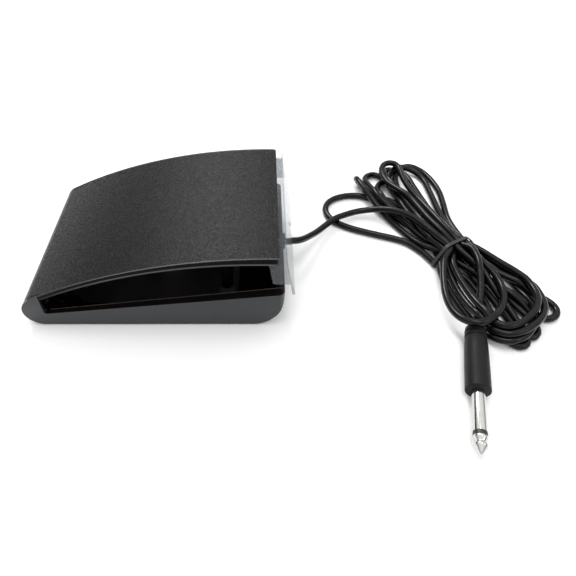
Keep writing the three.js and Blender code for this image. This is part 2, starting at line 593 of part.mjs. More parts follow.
// Two thin wires from the cord's inner end to the switch terminals.
function innerWires() {
  const endX = SWITCH.x0 + SWITCH.length + GAP + TERMINAL.length + GAP;
  const startX = LEAD_ROUTE[0][0] + OVERALL_LENGTH / 2 - GAP;
  return TERMINAL.z.map((z, index) => {
    const level = CORD_EXIT_Z + (index === 0 ? -0.9 : 0.9);
    const bladeMiddle = z + TERMINAL.thickness / 2;
    const route = [
      [startX, 0, level],
      [startX - 2.5, 0.4, level],
      [116, 7, level],
      [114, 13, z + 2.5],
      [endX + 1.6, SWITCH_MID_Y - 0.4, bladeMiddle],
      [endX, SWITCH_MID_Y, bladeMiddle],
    ];
    return named(`inner_wire_${index + 1}`, tubeAlong(route, INNER_WIRE_RADIUS, 14, 6), 'cord');
  });
}

// ---- Cord clamp and grommet ----------------------------------------------------------

function cordClamp() {
  const bottom = CORD_EXIT_Z - CORD_RADIUS;
  const x0 = CLAMP.x - CLAMP.halfLength;
  const x1 = CLAMP.x + CLAMP.halfLength;
  const pieces = [
    block(x0, x1, -CLAMP.halfWidth, CLAMP.halfWidth, bottom, bottom + CLAMP.plate),
    lengthwiseRod(0, CORD_EXIT_Z, x0, x1, CLAMP.saddleRadius),
  ];
  const cuts = [
    lengthwiseRod(0, CORD_EXIT_Z, x0 - 2, x1 + 2, CORD_BORE_RADIUS),
    block(x0 - 2, x1 + 2, -CORD_BORE_RADIUS, CORD_BORE_RADIUS, bottom - 5, CORD_EXIT_Z),
    block(x0 - 2, x1 + 2, -CLAMP.halfWidth - 1, CLAMP.halfWidth + 1, bottom - 5, bottom),
  ];
  for (const y of CLAMP.screwY) cuts.push(post(CLAMP.x, y, 10, 20, CLAMP_HOLE_RADIUS, CLAMP_HOLE_RADIUS, 12));
  return named('cord_clamp', geometryFrom(cut(join(pieces), cuts)), 'inner');
}

// Pan-head screws, head up on the clamp.
function clampScrews() {
  const headHeight = 1.6;
  const headTop = CORD_EXIT_Z - CORD_RADIUS + CLAMP.plate + GAP + headHeight;
  return CLAMP.screwY.map((y, index) => {
    const geometry = turned([[0, 0], [0, 2.1], [headHeight, 2.1], [headHeight, 1.1], [8, 1.1], [9, 0]], 16);
    geometry.rotateY(Math.PI / 2);
    geometry.translate(CLAMP.x, y, headTop);
    return named(`clamp_screw_${index + 1}`, geometry, 'steel');
  });
}

function cordGrommet() {
  const { flangeRadius, flange, neckRadius, neckEnd, length } = GROMMET;
  const outer = turned([[0, 0], [0, flangeRadius], [flange, flangeRadius], [flange, neckRadius],
    [neckEnd, neckRadius], [neckEnd, flangeRadius], [length, flangeRadius], [length, 0]], 24);
  outer.translate(GROMMET.x, 0, CORD_EXIT_Z);
  const bush = cut(solidFrom(outer), [lengthwiseRod(0, CORD_EXIT_Z, 120, 140, CORD_BORE_RADIUS)]);
  return named('cord_grommet', geometryFrom(bush), 'rubber');
}

// ---- Clear rear guard ----------------------------------------------------------------

// The sheet leans back a little and flares at its lower edge.
function guardFlangeShape() {
  const { sheet, topX, topZ, bottomX, bottomZ } = GUARD;
  const flare = 0.8;
  return polygon([
    [topX, topZ],
    [bottomX - sheet, bottomZ],
    [bottomX - sheet + flare, bottomZ - 0.2],
    [bottomX + flare, bottomZ + 0.1],
    [topX + sheet, topZ],
  ]);
}

function guardTabShape() {
  const { frontTopX, frontBottomX, bottomZ } = GUARD_TAB;
  const corner = GUARD_TAB_CORNER;
  const frontX = frontBottomX - 0.3;
  const shelfTop = GUARD_SHELF.z + GUARD_SHELF.sheet;
  const shape = new THREE.Shape();
  shape.moveTo(frontTopX, shelfTop);
  shape.lineTo(frontX, bottomZ + corner);
  shape.absarc(frontX + corner, bottomZ + corner, corner, Math.PI, Math.PI * 1.5, false);
  shape.lineTo(GUARD.bottomX - 1.4, bottomZ);
  shape.lineTo(GUARD.topX + 0.6, shelfTop);
  return shape;
}

// An arched opening in the lower edge, over the cord.
function cordNotch() {
  const archZ = GUARD.bottomZ + 1;
  const shape = new THREE.Shape();
  shape.moveTo(CORD_NOTCH_RADIUS, archZ - 3);
  shape.lineTo(CORD_NOTCH_RADIUS, archZ);
  shape.absarc(0, archZ, CORD_NOTCH_RADIUS, 0, Math.PI, false);
  shape.lineTo(-CORD_NOTCH_RADIUS, archZ - 3);
  const notch = new THREE.ExtrudeGeometry(shape, { depth: 12, bevelEnabled: false, curveSegments: 8 });
  notch.rotateX(Math.PI / 2);
  notch.rotateZ(Math.PI / 2);
  notch.translate(BASE_LENGTH, 0, 0);
  return notch;
}

function rearGuard() {
  const tab = guardTabShape();
  const { outerY, sheet, frontTopX } = GUARD_TAB;
  const pieces = [
    across(guardFlangeShape(), -HALF_WIDTH, HALF_WIDTH),
    block(frontTopX + 0.5, GUARD.topX + 0.8, -outerY, outerY, GUARD_SHELF.z, GUARD_SHELF.z + GUARD_SHELF.sheet),
    across(tab, -outerY, -outerY + sheet, 5),
    across(tab, outerY - sheet, outerY, 5),
  ];
  return named('rear_guard', geometryFrom(cut(join(pieces), [cordNotch()])), 'clear');
}

// ---- Free cord, hank and plug, from the finished group's origin ------------------------

function tieBlock(halfAcross, halfAlong, z0, z1) {
  const geometry = new THREE.BoxGeometry(halfAlong * 2, halfAcross * 2, z1 - z0);
  geometry.rotateZ(TIE_HEADING);
  geometry.translate(TIE_CENTRE.x, TIE_CENTRE.y, (z0 + z1) / 2);
  return geometry;
}

// The hank is one plain solid with a groove round its waist for the tie.
function cordHank() {
  const outline = new THREE.CatmullRomCurve3(HANK_OUTLINE.map(([x, y]) => new THREE.Vector3(x, y, 0)), true);
  const edge = outline.getPoints(66).slice(0, -1).map((p) => [p.x, p.y]);
  const waist = solidFrom(tieBlock(HANK_WAIST, 3, 1.9, HANK_TOP));
  const groove = solidFrom(tieBlock(30, 1.6, -1, HANK_TOP + 1)).subtract(waist);
  const hank = solidFrom(upright(polygon(edge), 0, HANK_TOP)).subtract(groove);
  return named('cord_hank', geometryFrom(hank), 'cord');
}

function hankTie() {
  const outside = solidFrom(tieBlock(HANK_WAIST + 1.7, 1.2, 0, HANK_TOP + 1.9));
  const ring = cut(outside, [tieBlock(HANK_WAIST + GAP, 3, 1.5, HANK_TOP + GAP)]);
  return named('hank_tie', geometryFrom(ring), 'rubber');
}

// Plug profiles are measured along the plug from the front face of its grip.
function plugPiece(name, profile, finish) {
  const geometry = turned(profile);
  geometry.rotateZ(PLUG_HEADING);
  geometry.translate(PLUG_SHOULDER.x, PLUG_SHOULDER.y, PLUG_SHOULDER.z);
  return named(name, geometry, finish);
}

function plugGrip() {
  const profile = [[-GRIP_LENGTH, 0], [-GRIP_LENGTH, 4.9], [-GRIP_LENGTH + 0.6, 5.4]];
  for (const groove of GRIP_GROOVES) {
    const start = -GRIP_LENGTH + groove;
    profile.push([start, 5.5], [start, 4.8], [start + 0.9, 4.8], [start + 0.9, 5.5]);
  }
  profile.push([-26, 5.85], [-14, 6], [-1, 6.05], [0, 5.6], [0, 0]);
  return plugPiece('plug_grip', profile, 'grip');
}

function plugContacts() {
  const sleeve = [[GAP, 0], [GAP, SLEEVE_RADIUS], [21.7, SLEEVE_RADIUS], [21.7, 0]];
  const insulator = [[22, 0], [22, 3.1], [23, 3.1], [23, 0]];
  const tip = [[23.3, 0], [23.3, SLEEVE_RADIUS], [24.4, SLEEVE_RADIUS], [26.2, 2.2], [27.4, 3.1], [28.4, 3.1],
    [31.2, 1], [31.75, 0]];
  return [
    plugPiece('plug_sleeve', sleeve, 'nickel'),
    plugPiece('plug_insulator', insulator, 'inner'),
    plugPiece('plug_tip', tip, 'nickel'),
  ];
}

// ---- Assembly -------------------------------------------------------------------------

const pedal = new THREE.Group();
pedal.position.x = -OVERALL_LENGTH / 2;
pedal.add(
  baseShell(),
  bottomCover(),
  footPad(),
  ...coverScrews(),
  treadle(),
  hingePin(),
  returnSpring(),
  ...stopBumpers(),
  switchBody(),
  switchPlunger(),
  switchLever(),
  leverPin(),
  ...switchScrews(),
  ...switchTerminals(),
  ...innerWires(),
  cordClamp(),
  ...clampScrews(),
  cordGrommet(),
  rearGuard(),
);

const cord = new THREE.Group();
cord.add(
  named('cord_lead', tubeAlong(LEAD_ROUTE, CORD_RADIUS, 20, 8), 'cord'),
  named('cord_loose_loop', tubeAlong(LOOSE_LOOP_ROUTE, CORD_RADIUS, 18, 8), 'cord'),
  cordHank(),
  hankTie(),
  plugGrip(),
  ...plugContacts(),
);

const sustainPedal = new THREE.Group();
sustainPedal.add(pedal, cord);
export default sustainPedal;
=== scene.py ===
"""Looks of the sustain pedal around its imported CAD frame.

Metres, +Z up, with the origin on the floor under the middle of the pedal. The cord, the plug, the tie and
the materials are worked out in millimetres, and MM takes them to metres.
"""

import json
import math

import bmesh
import bpy
import numpy as np
from mathutils import Matrix, Vector


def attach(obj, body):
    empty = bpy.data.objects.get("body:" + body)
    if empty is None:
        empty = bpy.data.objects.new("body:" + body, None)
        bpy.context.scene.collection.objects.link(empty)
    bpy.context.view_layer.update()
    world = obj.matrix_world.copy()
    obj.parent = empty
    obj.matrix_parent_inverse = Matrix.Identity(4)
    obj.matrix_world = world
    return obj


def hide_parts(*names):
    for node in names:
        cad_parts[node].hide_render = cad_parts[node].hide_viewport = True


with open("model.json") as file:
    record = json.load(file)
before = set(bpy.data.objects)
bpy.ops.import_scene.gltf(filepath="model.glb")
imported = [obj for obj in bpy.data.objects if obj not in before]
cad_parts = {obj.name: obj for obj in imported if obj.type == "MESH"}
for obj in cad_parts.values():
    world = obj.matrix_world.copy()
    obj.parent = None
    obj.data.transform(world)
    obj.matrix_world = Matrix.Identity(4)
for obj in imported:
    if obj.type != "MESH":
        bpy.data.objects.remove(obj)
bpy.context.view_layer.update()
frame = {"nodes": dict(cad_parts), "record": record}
NODES = frame["nodes"]
MM = 0.001

# ---- Camera -----------------------------------------------------------------------------

CAMERA_PLACE = Vector((52.7, -220.2, 216.3)) * MM
CAMERA_PITCH = math.radians(46.131)
CAMERA_YAW = math.radians(2.358)
CAMERA_ROLL = math.radians(1.782)
CAMERA_LENS = 32.42
CAMERA_SENSOR = 36
CAMERA_SHIFT = (0.0200, -0.0176)
CAMERA_CLIP = (0.01, 20)


def make_camera():
    """Looks down at the pedal's near side, turned a little towards the cord."""
    forward = Vector((math.cos(CAMERA_PITCH) * math.sin(CAMERA_YAW),
                      math.cos(CAMERA_PITCH) * math.cos(CAMERA_YAW),
                      -math.sin(CAMERA_PITCH)))
    level = forward.cross(Vector((0, 0, 1))).normalized()
    upright = level.cross(forward)
    right = level * math.cos(CAMERA_ROLL) + upright * math.sin(CAMERA_ROLL)
    up = upright * math.cos(CAMERA_ROLL) - level * math.sin(CAMERA_ROLL)
    data = bpy.data.cameras.new("camera")
    data.sensor_width = CAMERA_SENSOR
    data.lens = CAMERA_LENS
    data.shift_x, data.shift_y = CAMERA_SHIFT
    data.clip_start, data.clip_end = CAMERA_CLIP
    camera = bpy.data.objects.new("camera", data)
    axes = Matrix((right, up, -forward)).transposed()
    camera.matrix_world = Matrix.Translation(CAMERA_PLACE) @ axes.to_4x4()
    bpy.context.scene.collection.objects.link(camera)
    bpy.context.scene.camera = camera


# ---- Cord route, in millimetres -----------------------------------------------------------

CORD_DIAMETER = 4.0
CORD_RADIUS = CORD_DIAMETER / 2
CORD_STEP = 2.0  # from one point of the finished line to the next

# The lead, from its inner end out through the rear wall and over the floor to the hank.
LEAD_ROUTE = [
    (51, 0, 17.5), (58, 0, 17.5), (64.5, 0, 17.5), (69, 0.3, 17.3), (73, 2, 16.4), (77, 6, 14.6),
    (81.5, 12.2, 12.2), (86.5, 19, 9.8), (92, 26.5, 8), (98.5, 33.6, 7), (106, 39, 6.5), (114, 43.2, 6.3),
    (122, 43.8, 7.6),
]
# Its last stretch, up over the hank to the tie.
LEAD_OVER_HANK = [
    (130.3, 41, 10.8), (139, 36, 13), (146.4, 29.6, 13.6), (151.2, 22.5, 13.4), (155.2, 15.5, 13),
    (158.6, 9, 12.4),
]
# The loop that the lead makes on top of the hank, past the tie and over the end of the plug's grip.
TOP_LOOP_ROUTE = [
    (157.6, -8, 12.2), (154.2, -22, 11.5), (152.6, -35, 11), (153, -45.5, 12), (156, -53, 13.2),
    (162.5, -56.8, 14), (170.5, -53.5, 13.6), (177.5, -46.5, 12.8), (182.6, -37.5, 12),
    (184.6, -28, 11.6), (183.2, -18.5, 11.2), (179.4, -9.5, 10),
]
# The loose loop that lies open on the floor, between the hank and the lead.
LOOSE_LOOP_ROUTE = [
    (158, 28, 3), (149, 47, 2.6), (138, 59, 2.4), (126.8, 62, 2.2), (118, 63.6, 2.05), (108.5, 62.6, 2.05),
    (99.5, 58, 2.05), (95.2, 51.5, 2.05), (95, 44, 2.05), (98.5, 37, 2.05), (106, 31, 2.05),
    (116, 26.5, 2.05), (127, 22.5, 2.05), (136, 19.4, 2.05), (143, 16, 2.2), (149.5, 9, 2.6),
]
# Three loops at the hank's far end: a narrow one on top, one like a finger that stands on edge beside it,
# and a short one just over the floor.
NARROW_LOOP_ROUTE = [
    (161, 18.5, 12.2), (156.8, 29.5, 12.2), (153.4, 41, 11.4), (149.6, 52, 10.6), (143.8, 61.4, 9.8),
    (138.4, 70.6, 9.3), (136.8, 80, 9.3), (137.4, 86.4, 9.4), (139.8, 91, 9.5), (143.6, 92.8, 9.6),
    (147.2, 91, 9.7), (149.2, 86.6, 9.8), (149.6, 80.6, 10), (150.2, 73, 10.3), (151.9, 62, 11.2),
    (154.8, 49, 12.6), (159.4, 35, 13.3), (163.8, 22, 13.3), (167.4, 12.4, 12.4),
]
FINGER_LOOP_ROUTE = [
    (157, 19, 5.6), (149.6, 27, 4), (142, 36.5, 2.6), (134.5, 47.5, 2.1), (128.6, 59, 2.1),
    (124.2, 69.5, 2.1), (121.4, 76.4, 3.2), (118.6, 77.8, 6.4), (118.4, 73.4, 9.6), (120.4, 66, 10.2),
    (124.4, 56.4, 9), (130.2, 45.8, 5.6), (136.8, 34.6, 3), (143, 23.6, 2.4), (149.8, 12.8, 2.6),
]
SHORT_LOOP_ROUTE = [
    (160, 20, 5.4), (149, 36, 4.4), (138.4, 50, 4.2), (133, 58.6, 4), (131.4, 66.6, 4), (134, 73.6, 4),
    (138.4, 79.2, 4), (138, 85, 4), (132, 87.4, 4), (126.6, 84.2, 4), (124.3, 77.8, 4.5),
    (125.6, 69.5, 5.8), (128.9, 60.5, 6.2), (134.6, 49.5, 6.2), (141, 37.5, 6), (148, 26, 5),
    (155.5, 15, 4.2),
]
# The three arcs at the hank's near end, from the uppermost down.
FIRST_ARC_ROUTE = [
    (162, -6.6, 8.4), (163, -16.5, 8.8), (165, -27, 9.2), (167, -37, 9.4), (168.8, -46.6, 10.5),
    (171.6, -54, 11.5), (177.4, -57.6, 12), (184, -56.4, 12), (189.6, -52.7, 12), (195.2, -47.6, 11.6),
    (199.6, -42, 11), (202.3, -35.6, 10.5), (202.9, -28.6, 9.8), (201.4, -21, 9.2), (197.6, -13.6, 8.6),
    (192, -6, 8), (186, 1.6, 7.6),
]
SECOND_ARC_ROUTE = [
    (160, -8.4, 6.2), (161, -19, 6), (162.8, -30, 5.8), (165.4, -41, 6.2), (168.6, -50, 7.4),
    (172.6, -56.8, 8.4), (178.4, -60, 8.8), (185.6, -59, 8.8), (192.9, -55, 8.6), (199.2, -49, 8),
    (204.2, -41.8, 7), (206, -34.4, 6.2), (205, -26, 5.6), (201.2, -17, 5.2), (195.2, -8.2, 5),
    (188.2, 0.8, 4.4),
]
THIRD_ARC_ROUTE = [
    (157.4, -10, 3.2), (158.4, -21, 2.3), (160.6, -32, 2.1), (163.8, -43, 2.3), (167.4, -52.6, 4),
    (171.8, -58.8, 5.2), (178.4, -61.8, 5.6), (186, -60.4, 5.6), (193.4, -55, 5.4), (198.6, -46.4, 4),
    (200.8, -36.4, 2.6), (200.8, -27.4, 2.1), (198.2, -17.4, 2.1), (192.4, -7, 2.6), (184.4, 2, 4.4),
]
# From the last strand in the tie to the back of the plug's grip.
TO_THE_PLUG = [
    (175.6, 0.5, 12.2), (176.8, -8.5, 12.4), (175.8, -17, 12), (173.9, -26.5, 11), (171, -36.5, 9),
    (168, -45, 7),
]

# The tie's middle, with the way that the strands run through it, and the way across them.
TIE_CENTRE = np.array([168.5, 5.5])
TIE_HEADING = math.radians(-58)
ALONG = np.array([math.cos(TIE_HEADING), math.sin(TIE_HEADING)])
ACROSS = np.array([-math.sin(TIE_HEADING), math.cos(TIE_HEADING)])
# How near to its middle counts as in the tie, along the strands and across them.
TIE_REACH = 5
TIE_HALF_SPAN = 17

# The plug's shoulder, where the grip ends and the sleeve begins, and the way that the plug points.
PLUG_SHOULDER = np.array([154.3, -91.9, 6.1])
PLUG_HEADING = math.radians(256)
PLUG_AXIS = np.array([math.cos(PLUG_HEADING), math.sin(PLUG_HEADING), 0])
GRIP_LENGTH = 38
GRIP_RADIUS = 5.5
GRIP_REAR = PLUG_SHOULDER - PLUG_AXIS * GRIP_LENGTH

# Where each strand lies in the tie: how far across it, and how high.
STRANDS_DOWN = [
    (-6, 10.6), (-3.8, 6.9), (-8.2, 6.9), (-10.2, 3.4), (-5.6, 3.4), (-0.8, 3.4), (-14.5, 3.4), (2, 10.6),
]
STRANDS_UP = [(6, 10.6), (10.4, 7.4), (13.8, 3.4), (5.4, 6.9), (0.8, 6.9), (4, 3.4), (-2, 10.6)]
# The widest loop at the far end, and two short ones whose tips show below the arcs.
WIDE_LOOP_ROUTE = [
    (176, 25, 2.4), (173.6, 39.4, 2.1), (174.4, 54.5, 2.1), (174.7, 69, 2.1), (172, 82.4, 2.1),
    (166.8, 93, 2.1), (160, 98, 2.1), (152.8, 95.6, 2.1), (147.6, 87, 2.1), (146.4, 75, 2.1),
    (148.4, 61, 2.1), (151.6, 46, 2.1), (155, 30, 2.2), (157.6, 14, 2.8),
]
RIGHT_STUB_ROUTE = [
    (172.6, -5, 3), (177.4, -17, 2.6), (181.4, -28.5, 2.3), (185, -40, 2.1), (188, -49.6, 2.1),
    (190.4, -54.4, 2.1), (194.4, -56.6, 2.1), (198.2, -54.4, 2.1), (199.2, -49.6, 2.1),
    (196.6, -42, 2.1), (192, -33, 2.1), (187.4, -23, 2.6), (182.2, -11.6, 3), (177, -1, 3.4),
]
LEFT_STUB_ROUTE = [
    (163.4, -7.6, 2.4), (171, -15.6, 2.1), (174.6, -26, 2.1), (177, -38, 2.1), (179, -50, 2.1),
    (180.2, -56.4, 2.1), (182.2, -61, 2.1), (186, -62.8, 2.1), (189.8, -61, 2.1), (191.2, -56.4, 2.1),
    (189.6, -47, 2.1), (186, -35, 3.4), (181, -21, 5.8), (175.4, -8, 8.4),
]

# The hank's loops in the order in which the cord runs through them: an upper one, then a lower one, and so
# on. A plain loop is only its far point, its width, and its height going out and coming back.
UPPER_LOOPS = [
    ((144.8, 92), 17, 3, 5),
    ((151, 92.5), 26, 3, 5),
    WIDE_LOOP_ROUTE,
    FINGER_LOOP_ROUTE,
    SHORT_LOOP_ROUTE,
    LOOSE_LOOP_ROUTE,
    NARROW_LOOP_ROUTE,
]
LOWER_LOOPS = [
    FIRST_ARC_ROUTE,
    SECOND_ARC_ROUTE,
    THIRD_ARC_ROUTE,
    ((212, -43), 14, 2.1, 3),
    RIGHT_STUB_ROUTE,
    LEFT_STUB_ROUTE,
]


# How firmly a plain loop keeps its direction out of the tie, and into its far bend, as shares of its reach.
LEAVING_PULL = 0.28
TURNING_PULL = 0.3


def tie_place(across, height):
    return np.append(TIE_CENTRE + ACROSS * across, height)


def bezier(a, b, c, d, count):
    t = np.linspace(0, 1, count)[:, None]
    return (1 - t) ** 3 * a + 3 * (1 - t) ** 2 * t * b + 3 * (1 - t) * t * t * c + t ** 3 * d


def plain_loop(start, end, far_point, width, height_out, height_back, upper):
    """Points of one loop, from its start in the tie round its far point and back to its end in the tie."""
    axis = np.array(far_point) - TIE_CENTRE
    reach = np.linalg.norm(axis)
    axis /= reach
    to_the_side = np.array([axis[1], -axis[0]]) * width / 2
    centre = np.array(far_point) - axis * width / 2
    out = np.append(centre + to_the_side, height_out)
    back = np.append(centre - to_the_side, height_back)
    leaving = np.append(ALONG * (-1 if upper else 1), 0) * reach * LEAVING_PULL
    turning = np.append(axis, 0) * reach * TURNING_PULL
    bend = []
    for angle in np.linspace(0, math.pi, 5)[1:-1]:
        place = centre + to_the_side * math.cos(angle) + axis * width / 2 * math.sin(angle)
        height = height_out + (height_back - height_out) * (1 - math.cos(angle)) / 2
        bend.append(np.append(place, height))
    return np.vstack([
        bezier(start, start + leaving, out - turning, out, 7)[1:],
        bend,
        bezier(back, back - turning, end + leaving, end, 7),
    ])


def loop_between(start, end, loop, upper):
    """Points of a loop, which is given as its own list of points or as the measures of a plain one."""
    if isinstance(loop, list):
        return np.array(loop + [tuple(end)], float)
    return plain_loop(start, end, *loop, upper)


def cord_route():
    """The whole cord: the lead, the top loop, the hank's turns, and on to the plug."""
    down = [tie_place(*place) for place in STRANDS_DOWN]
    up = [tie_place(*place) for place in STRANDS_UP]
    parts = [LEAD_ROUTE, LEAD_OVER_HANK, [down[0]], TOP_LOOP_ROUTE, [up[0]]]
    for turn, loop in enumerate(UPPER_LOOPS):
        parts.append(loop_between(up[turn], down[turn + 1], loop, True))
        if turn < len(LOWER_LOOPS):
            parts.append(loop_between(down[turn + 1], up[turn + 1], LOWER_LOOPS[turn], False))
    parts.append(TO_THE_PLUG)
    parts.append([GRIP_REAR + PLUG_AXIS * along for along in (-5, 0, 6)])
    return np.vstack([np.array(part, float) for part in parts])


FINE_POINTS = 16


def smooth_line(points, step):
    """A centripetal Catmull-Rom curve through the points, as points one step apart."""
    padded = np.vstack([2 * points[0] - points[1], points, 2 * points[-1] - points[-2]])
    pieces = []
    for i in range(1, len(padded) - 2):
        p0, p1, p2, p3 = padded[i - 1:i + 3]
        t1 = np.linalg.norm(p1 - p0) ** 0.5
        t2 = t1 + np.linalg.norm(p2 - p1) ** 0.5
        t3 = t2 + np.linalg.norm(p3 - p2) ** 0.5
        t = np.linspace(t1, t2, FINE_POINTS)[:-1, None]
        a1 = ((t1 - t) * p0 + t * p1) / t1
        a2 = ((t2 - t) * p1 + (t - t1) * p2) / (t2 - t1)
        a3 = ((t3 - t) * p2 + (t - t2) * p3) / (t3 - t2)
        b1 = ((t2 - t) * a1 + t * a2) / t2
        b2 = ((t3 - t) * a2 + (t - t1) * a3) / (t3 - t1)
        pieces.append(((t2 - t) * b1 + (t - t1) * b2) / (t2 - t1))
    line = np.vstack(pieces + [points[-1:]])
    along = np.append(0, np.cumsum(np.linalg.norm(np.diff(line, axis=0), axis=1)))
    at = np.linspace(0, along[-1], round(along[-1] / step) + 1)
    return np.stack([np.interp(at, along, line[:, axis]) for axis in range(3)], axis=1)


def touching_pairs(line, distance, apart):
    """Pairs of points nearer to each other than distance, and at least so many places apart on the line."""
    near = line.astype(np.float32)
    square = (near * near).sum(1)
    gap = square[:, None] + square[None] - 2 * near @ near.T
    return np.nonzero(np.triu(gap < distance ** 2, apart))


def clear_of_grip(line, movable):
    """Pushes points out of the plug's grip."""
    along = np.clip((line - GRIP_REAR) @ PLUG_AXIS, 0, GRIP_LENGTH)[:, None]
    nearest = GRIP_REAR + along * PLUG_AXIS
    away = line - nearest
    distance = np.linalg.norm(away, axis=1)[:, None]
    limit = CORD_RADIUS + GRIP_RADIUS
    inside = (distance[:, 0] < limit) & movable
    line[inside] = nearest[inside] + away[inside] / distance[inside] * limit


# How the cord settles: the number of rounds, the share of them in which it sinks, and how far in each.
SETTLE_ROUNDS = 260
SINKING_SHARE = 0.75
SINK = 0.035
# The lengths that stay as they are laid, at the inner end and at the plug, and the last length, which runs
# into the grip and so isn't pushed out of it.
HELD_AT_START = 20
HELD_AT_END = 11
INTO_THE_GRIP = 20
# How much of its way back to the route a point goes in each round, in the tie and elsewhere. The other two
# numbers weaken that in height, and in the last rounds.
HOLD_IN_TIE = 0.12
HOLD = 0.035
HOLD_IN_HEIGHT = 0.25
HOLD_AT_LAST = 0.3
# How fast strands are pushed apart. Others are looked for every few rounds, a little further away than they
# touch, and points fewer than NEXT_STRAND places apart on the line don't push each other.
PUSH = 1.4
LOOK_AROUND = 1.6
LOOK_EVERY = 6
NEXT_STRAND = 5
# How stiffly the bends are kept, over three steps each way and over one.
BEND_STIFFNESS = ((3, 0.06), (1, 0.25))
FLOOR_GAP = 0.02


def push_apart(line, first, second):
    """How far each point has to go to clear the strands that it cuts into."""
    apart = line[first] - line[second]
    distance = np.maximum(np.linalg.norm(apart, axis=1), 1e-6)
    push = apart / distance[:, None] * np.maximum(CORD_DIAMETER - distance, 0)[:, None] / 2
    pushed, times = np.zeros_like(line), np.zeros(len(line))
    for points, way in ((first, push), (second, -push)):
        np.add.at(pushed, points, way)
        np.add.at(times, points, distance < CORD_DIAMETER)
    return pushed / np.maximum(times, 1)[:, None]


def keep_bends(line, route, weight):
    """Moves each point towards the bend that the laid-out route has there."""
    for reach, stiffness in BEND_STIFFNESS:
        middle = slice(reach, -reach)
        bend_now = (line[2 * reach:] + line[:-2 * reach]) / 2 - line[middle]
        bend_route = (route[2 * reach:] + route[:-2 * reach]) / 2 - route[middle]
        line[middle] += weight[middle] * stiffness * (bend_now - bend_route)


def settle_cord(route):
    """Lets the strands push each other apart and settle, while they keep near to their laid-out route."""
    line = route.copy()
    count = len(line)
    movable = np.ones(count, bool)
    movable[:round(HELD_AT_START / CORD_STEP) + 1] = False
    movable[-round(HELD_AT_END / CORD_STEP):] = False
    weight = movable.astype(float)[:, None]
    off_grip = movable & (np.arange(count) < count - round(INTO_THE_GRIP / CORD_STEP))
    from_tie = route[:, :2] - TIE_CENTRE
    in_tie = (abs(from_tie @ ALONG) < TIE_REACH) & (abs(from_tie @ ACROSS) < TIE_HALF_SPAN)
    hold = np.where(in_tie, HOLD_IN_TIE, HOLD)[:, None]
    for turn in range(SETTLE_ROUNDS):
        sinking = turn <= SETTLE_ROUNDS * SINKING_SHARE
        if turn % LOOK_EVERY == 0:
            first, second = touching_pairs(line, CORD_DIAMETER + LOOK_AROUND, NEXT_STRAND)
        line += weight * push_apart(line, first, second) * PUSH
        clear_of_grip(line, off_grip)
        if sinking:
            line[:, 2] -= SINK * weight[:, 0]
        back = (route - line) * (1, 1, HOLD_IN_HEIGHT)
        line += weight * hold * back * (1 if sinking else HOLD_AT_LAST)
        keep_bends(line, route, weight)
        line[movable, 2] = np.maximum(line[movable, 2], CORD_RADIUS + FLOOR_GAP)
    return line


def link(piece):
    bpy.context.scene.collection.objects.link(piece)
    return piece


def make_cord(material):
    line = settle_cord(smooth_line(cord_route(), CORD_STEP))
    curve = bpy.data.curves.new("cord", "CURVE")
    curve.dimensions = "3D"
    curve.bevel_depth = CORD_RADIUS * MM
    curve.bevel_resolution = 5
    curve.use_fill_caps = True
    spline = curve.splines.new("POLY")
    spline.points.add(len(line) - 1)
    spline.points.foreach_set("co", np.column_stack([line * MM, np.ones(len(line))]).ravel())
    spline.use_smooth = True
    curve.materials.append(material)
    return link(bpy.data.objects.new("cord", curve)), line


# ---- Floor and light ----------------------------------------------------------------------

def make_floor():
    mesh = bpy.data.meshes.new("floor")
    side = 3
    corners = [(-side, -side, 0), (side, -side, 0), (side, side, 0), (-side, side, 0)]
    mesh.from_pydata(corners, [], [(0, 1, 2, 3)])
    material = bpy.data.materials.new("floor")
    material.use_nodes = True
    surface = material.node_tree.nodes["Principled BSDF"]
    surface.inputs["Base Color"].default_value = (0.93, 0.93, 0.93, 1)
    surface.inputs["Roughness"].default_value = 0.9
    mesh.materials.append(material)
    link(bpy.data.objects.new("floor", mesh))


def make_light(name, place, target, size, power):
    """A soft rectangular lamp at a place, turned to its target."""
    data = bpy.data.lights.new(name, "AREA")
    data.shape = "RECTANGLE"
    data.size, data.size_y = size
    data.energy = power
    light = link(bpy.data.objects.new(name, data))
    light.location = place
    light.rotation_euler = (Vector(target) - Vector(place)).to_track_quat("-Z", "Y").to_euler()


def make_sky():
    """A white studio dome, dim at the horizon and bright overhead."""
    world = bpy.data.worlds.new("studio")
    bpy.context.scene.world = world
    world.use_nodes = True
    nodes, links = world.node_tree.nodes, world.node_tree.links
    direction = nodes.new("ShaderNodeTexCoord")
    split = nodes.new("ShaderNodeSeparateXYZ")
    brightness = nodes.new("ShaderNodeMapRange")
    for name, value in (("From Min", 0.1), ("From Max", 0.7), ("To Min", 0.3), ("To Max", 1.2)):
        brightness.inputs[name].default_value = value
    links.new(direction.outputs["Generated"], split.inputs[0])
    links.new(split.outputs["Z"], brightness.inputs["Value"])
    links.new(brightness.outputs["Result"], nodes["Background"].inputs["Strength"])
    nodes["Background"].inputs["Color"].default_value = (1, 1, 1, 1)


def make_lights():
    middle = (0.05, 0, 0.02)
    make_light("overhead", (0.15, 0.05, 1.2), middle, size=(0.6, 0.2), power=3.5)
    make_light("back", (-0.2, 0.74, 0.83), middle, size=(0.36, 0.26), power=5.5)
    make_light("right_front", (0.9, -0.5, 0.7), middle, size=(0.4, 0.3), power=1.0)


# ---- Materials ----------------------------------------------------------------------------

